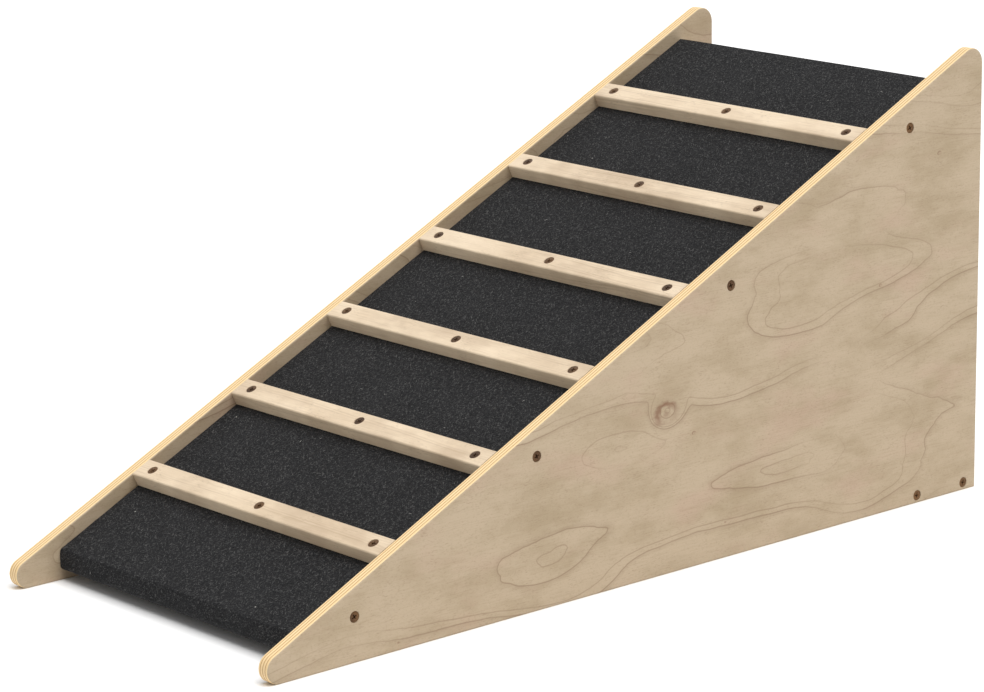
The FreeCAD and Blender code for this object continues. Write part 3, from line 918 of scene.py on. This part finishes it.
def mesh_from(form, name):
    """Object made from an edit mesh, which is then freed."""
    mesh = bpy.data.meshes.new(name)
    form.to_mesh(mesh)
    form.free()
    return place_object(name, mesh)


def lathe_profile(length):
    """Half outline of a screw, from the middle of its head to its point."""
    outline = [(0.0, 0.0), (head_radius - 0.0004, 0.0), (head_radius - 0.0001, -0.0001)]
    outline += [(head_radius, -0.0004), (shank_radius + 0.0002, -0.0028)]
    depth = 0.0036
    while depth < length - point_length:
        outline += [(shank_radius * 0.72, -depth), (shank_radius, -depth - 0.0008)]
        depth += ridge_pitch
    outline += [(shank_radius * 0.7, -length + point_length), (0.0, -length)]
    return outline


def turned(name, outline, segments):
    """Mesh object spun about Z from an outline."""
    form = bmesh.new()
    points = [form.verts.new((radius, 0, height)) for radius, height in outline]
    edges = [form.edges.new(pair) for pair in zip(points, points[1:])]
    bmesh.ops.spin(
        form, geom=points + edges, cent=(0, 0, 0), axis=(0, 0, 1), angle=math.tau, steps=segments
    )
    bmesh.ops.remove_doubles(form, verts=form.verts, dist=0.00001)
    bmesh.ops.recalc_face_normals(form, faces=form.faces)
    return mesh_from(form, name)


# %% [markdown]
# Cutting the cross
#
# The driver's cross is a tapered cutter, taken out of the head with a Boolean. The cut leaves a few
# slivers with no area, so the mesh is split into triangles and cleaned of them.

# %% One screw
def cross_cutter():
    """Tapered cross for the driver's recess, open above the head."""
    form = bmesh.new()
    wide, arm, deep, taper = 0.00245, 0.00055, 0.0020, 0.45
    corners = []
    for quarter_turn in range(4):
        spin = quarter_turn * quarter
        for x, y in ((wide, -arm), (wide, arm), (arm, arm)):
            across = x * math.cos(spin) - y * math.sin(spin)
            corners.append(Vector((across, x * math.sin(spin) + y * math.cos(spin))))
    top = [form.verts.new((c.x, c.y, 0.001)) for c in corners]
    rim = [form.verts.new((c.x, c.y, 0.0)) for c in corners]
    foot = [form.verts.new((c.x * taper, c.y * taper, -deep)) for c in corners]
    form.faces.new(top)
    form.faces.new(reversed(foot))
    for upper, lower in ((top, rim), (rim, foot)):
        for place in range(len(corners)):
            after = (place + 1) % len(corners)
            form.faces.new((upper[place], lower[place], lower[after], upper[after]))
    bmesh.ops.recalc_face_normals(form, faces=form.faces)
    return mesh_from(form, "cross_cutter")


def make_screw(name, length):
    """Screw master: turned, its cross cut, as a plain mesh object."""
    blank = turned(name + "_blank", lathe_profile(length), 24)
    cutter = cross_cutter()
    cut = blank.modifiers.new("cross", "BOOLEAN")
    cut.object = cutter
    cut.operation = "DIFFERENCE"
    cut.solver = "EXACT"
    depsgraph = bpy.context.evaluated_depsgraph_get()
    mesh = bpy.data.meshes.new_from_object(blank.evaluated_get(depsgraph), depsgraph=depsgraph)
    for thing in (blank, cutter):
        bpy.data.objects.remove(thing)
    sliver = 0.000002
    form = bmesh.new()
    form.from_mesh(mesh)
    bmesh.ops.triangulate(form, faces=form.faces)
    bmesh.ops.remove_doubles(form, verts=form.verts, dist=sliver)
    bmesh.ops.dissolve_degenerate(form, edges=form.edges, dist=sliver)
    form.to_mesh(mesh)
    form.free()
    mesh.shade_smooth()
    mesh.set_sharp_from_angle(angle=math.radians(35))
    return place_object(name, mesh)


slat_screw = make_screw("slat_screw_master", 0.025)
side_screw = make_screw("side_screw_master", 0.040)
print("faces on a screw:", len(slat_screw.data.polygons), len(side_screw.data.polygons))

# %% [markdown]
# Setting the screws
#
# A cloud of points marks the heads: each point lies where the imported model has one, and carries the
# direction that points out of the wood. The tree copies a screw to every point, turns its Z axis that
# way, and then spins it by a random angle of its own, because nobody stops all their screws with
# the crosses lined up. It also tips each by up to about a degree.

# %% Head places
def head_middles(name, outward):
    """Middles of the screw heads on a node, found from its outermost points."""
    places = [vertex.co.copy() for vertex in nodes[name].data.vertices]
    furthest = max(place.dot(outward) for place in places)
    tops = [place for place in places if furthest - place.dot(outward) < 0.00005]
    groups = []
    for place in tops:
        for group in groups:
            if (group[0] - place).length < 0.011:
                group.append(place)
                break
        else:
            groups.append([place])
    middles = []
    for group in groups:
        low = Vector([min(place[axis] for place in group) for axis in range(3)])
        high = Vector([max(place[axis] for place in group) for axis in range(3)])
        middles.append((low + high) / 2)
    return middles


def point_cloud(name, marks):
    """Mesh of loose points that carry their outward direction."""
    mesh = bpy.data.meshes.new(name)
    mesh.from_pydata([place for place, outward in marks], [], [])
    outwards = mesh.attributes.new("outward", "FLOAT_VECTOR", "POINT")
    for number, (place, outward) in enumerate(marks):
        outwards.data[number].vector = outward
    return place_object(name, mesh)


slat_screw_nodes = sorted(name for name in nodes if name.startswith("slat_screws"))
side_screw_nodes = sorted(name for name in nodes if name.startswith(("deck_screws", "rail_screws")))
slat_marks = [(place, square) for name in slat_screw_nodes for place in head_middles(name, square)]
side_marks = []
for name in side_screw_nodes:
    outward = Vector((0, -1 if name.endswith("right") else 1, 0))
    side_marks += [(place, outward) for place in head_middles(name, outward)]
print("slat screws:", len(slat_marks), "side screws:", len(side_marks))

# %% Screw tree
def make_screw_tree():
    """Tree that sets a copy of a screw at every point, turned outward and spun at random."""
    inputs = {"Screw": "Object", "Tip": "Float", "Seed": "Int", "Finish": "Material"}
    tree, given, result = new_tree("set_screws", inputs)
    screw = add_node(tree, "GeometryNodeObjectInfo", {"Object": given["Screw"]}).outputs["Geometry"]
    name = {"Name": "outward"}
    outward = add_node(tree, "GeometryNodeInputNamedAttribute", name, data_type="FLOAT_VECTOR").outputs[0]
    aimed = add_node(tree, "FunctionNodeAlignRotationToVector", {"Vector": outward}, axis="Z").outputs[0]
    tip = given["Tip"]
    tilt = times(tree, tip, -1.0)
    turn = random_turn(tree, xyz(tree, tilt, tilt), xyz(tree, tip, tip, math.pi), given["Seed"])
    placing = {"Points": given["Geometry"], "Instance": screw, "Rotation": turned_by(tree, aimed, turn)}
    finish_copies(tree, result, placing, given["Finish"])
    return tree


screw_tree = make_screw_tree()
print("screw tree nodes:", len(screw_tree.nodes))

# %% [markdown]
# Bronzed steel
#
# The screws have a thin bronze-brown coat. It is duller than bare steel, a little uneven from screw
# to screw, and worn brighter in places where the driver slipped. Slow noise makes the unevenness, and
# a finer one the small worn marks.

# %% Screw and staple finishes
def coated_metal(name, tones, scale, roughness):
    """Metal with an uneven coat, dark to middle, and small worn marks."""
    material, tree, shader = new_material(name)
    dark, middle, worn = [tone(*numbers) for numbers in tones]
    low, high = roughness
    place = tree.nodes.new("ShaderNodeTexCoord").outputs["Object"]
    slow = noise(tree, place, 1.0, detail=1.0, scale=scale)
    fine = noise(tree, place, 6.0, detail=3.0, scale=scale * 26)
    colour = mix(tree, remap(tree, slow, 0.35, 0.65), dark, middle)
    colour = stain(tree, colour, fine, 0.6, worn, (0.60, 0.72))
    rough = remap(tree, fine, 0.35, 0.7, high, low)
    finish_shader(tree, shader, colour, rough, (fine, 0.2, 0.0001), {"Metallic": 0.75})
    return material


bronze_tones = ((82, 58, 39), (118, 86, 55), (162, 122, 80))
wire_tones = ((150, 152, 155), (178, 180, 182), (205, 206, 208))
bronze = coated_metal("bronzed_steel", bronze_tones, 35.0, (0.34, 0.52))
wire = coated_metal("staple_wire", wire_tones, 60.0, (0.25, 0.42))
finish_node("flap_staples", wire)
print("metals:", bronze.name, wire.name)

# %% [markdown]
# Both sets of screws come from the same tree. The points and the two master screws have done their
# work after that, and are taken away.

# %% Set the screws
slat_cloud = point_cloud("slat_heads", slat_marks)
side_cloud = point_cloud("side_heads", side_marks)
slat_values = {"Screw": slat_screw, "Tip": 0.02, "Seed": 5, "Finish": bronze}
side_values = {"Screw": side_screw, "Tip": 0.01, "Seed": 8, "Finish": bronze}
slat_screws = bake_tree(slat_cloud, screw_tree, "slat_screws", slat_values)
side_screws = bake_tree(side_cloud, screw_tree, "side_screws", side_values)
for helper in (slat_cloud, side_cloud, slat_screw, side_screw):
    bpy.data.objects.remove(helper)
print("screw faces:", len(slat_screws.data.polygons) + len(side_screws.data.polygons))

# %% [markdown]
# Tying the pieces to the model
#
# The ramp is one stiff body, so every new piece rides on the root. The felt takes the place of the
# plain carpet solid, and the screws take the place of the imported ones.

# %% Ride and replace
riders = (
    (carpet, "carpet"),
    (felt_fuzz, "carpet"),
    (lint, "carpet"),
    (slat_screws, "bronzed_screw"),
    (side_screws, "bronzed_screw"),
)
for piece, slot_name in riders:
    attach(piece, "root")
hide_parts("carpet")
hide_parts(*slat_screw_nodes)
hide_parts(*side_screw_nodes)
print("new pieces:", [piece.name for piece, slot_name in riders])

# %% [markdown]
# A plain studio
#
# The ramp stands on a pale floor under broad, soft light, so nothing competes with the wood. One very
# wide light from overhead makes the tops of the slats bright and leaves their fronts, which lean
# over, in shade. The rest comes evenly from all round, and a weak fill from behind keeps the rear and
# the left side clear. A wide sun is as bright on the floor far behind as under the ramp, so the
# horizon is lost in white.

# %% Floor, lights and world
def plain_floor():
    """Pale floor, much larger than the ramp."""
    mesh = bpy.data.meshes.new("floor")
    far = 30.0
    mesh.from_pydata([(-far, -far, 0), (far, -far, 0), (far, far, 0), (-far, far, 0)], [], [(0, 1, 2, 3)])
    floor = place_object("floor", mesh)
    material, tree, shader = new_material("pale_floor")
    place = tree.nodes.new("ShaderNodeTexCoord").outputs["Object"]
    slow = noise(tree, place, 0.0, scale=3.0)
    colour = mix(tree, slow, tone(247, 247, 246), tone(250, 250, 250))
    finish_shader(tree, shader, colour, 0.9, plain={"Specular IOR Level": 0.0})
    mesh.materials.append(material)


def soft_sun(name, direction, strength):
    """Very broad, even light that comes from one direction."""
    light = bpy.data.lights.new(name, "SUN")
    light.angle = math.radians(55)
    light.energy = strength
    lamp = place_object(name, light)
    lamp.rotation_euler = (-Vector(direction)).to_track_quat("-Z", "Y").to_euler()


plain_floor()
soft_sun("overhead", (0.06, -0.32, 1.0), 2.8)
soft_sun("rear_fill", (0.8, 1.0, 0.7), 0.55)
world = bpy.data.worlds.new("studio")
world.use_nodes = True
background = world.node_tree.nodes["Background"]
background.inputs["Color"].default_value = (1.0, 1.0, 1.0, 1.0)
background.inputs["Strength"].default_value = 0.43
bpy.context.scene.world = world
bpy.context.scene.view_settings.view_transform = "Standard"
print("lights:", len(bpy.data.lights))

# %% [markdown]
# Camera
#
# A long lens from a few steps away looks along the ramp from its low end, a little from the right. It
# is placed by a point to aim at, a compass direction, a height angle, a roll and a distance, which are
# easier to adjust than a bare position.

# %% Camera
camera_data = bpy.data.cameras.new("camera")
camera_data.sensor_width = 36.0
camera_data.lens = 135.83
camera = place_object("camera", camera_data)
bearing, rise, roll = math.radians(-41.128), math.radians(13.803), math.radians(-0.728)
aim = Vector((-0.0112, 0.0098, 0.1694))
away = Vector((math.sin(bearing) * math.cos(rise), -math.cos(bearing) * math.cos(rise), math.sin(rise)))
distance = 3.1866
camera.location = aim + away * distance
camera.rotation_mode = "QUATERNION"
camera.rotation_quaternion = (-away).to_track_quat("-Z", "Y") @ Quaternion((0, 0, 1), roll)
bpy.context.scene.camera = camera
print("camera lens:", camera_data.lens, "mm")
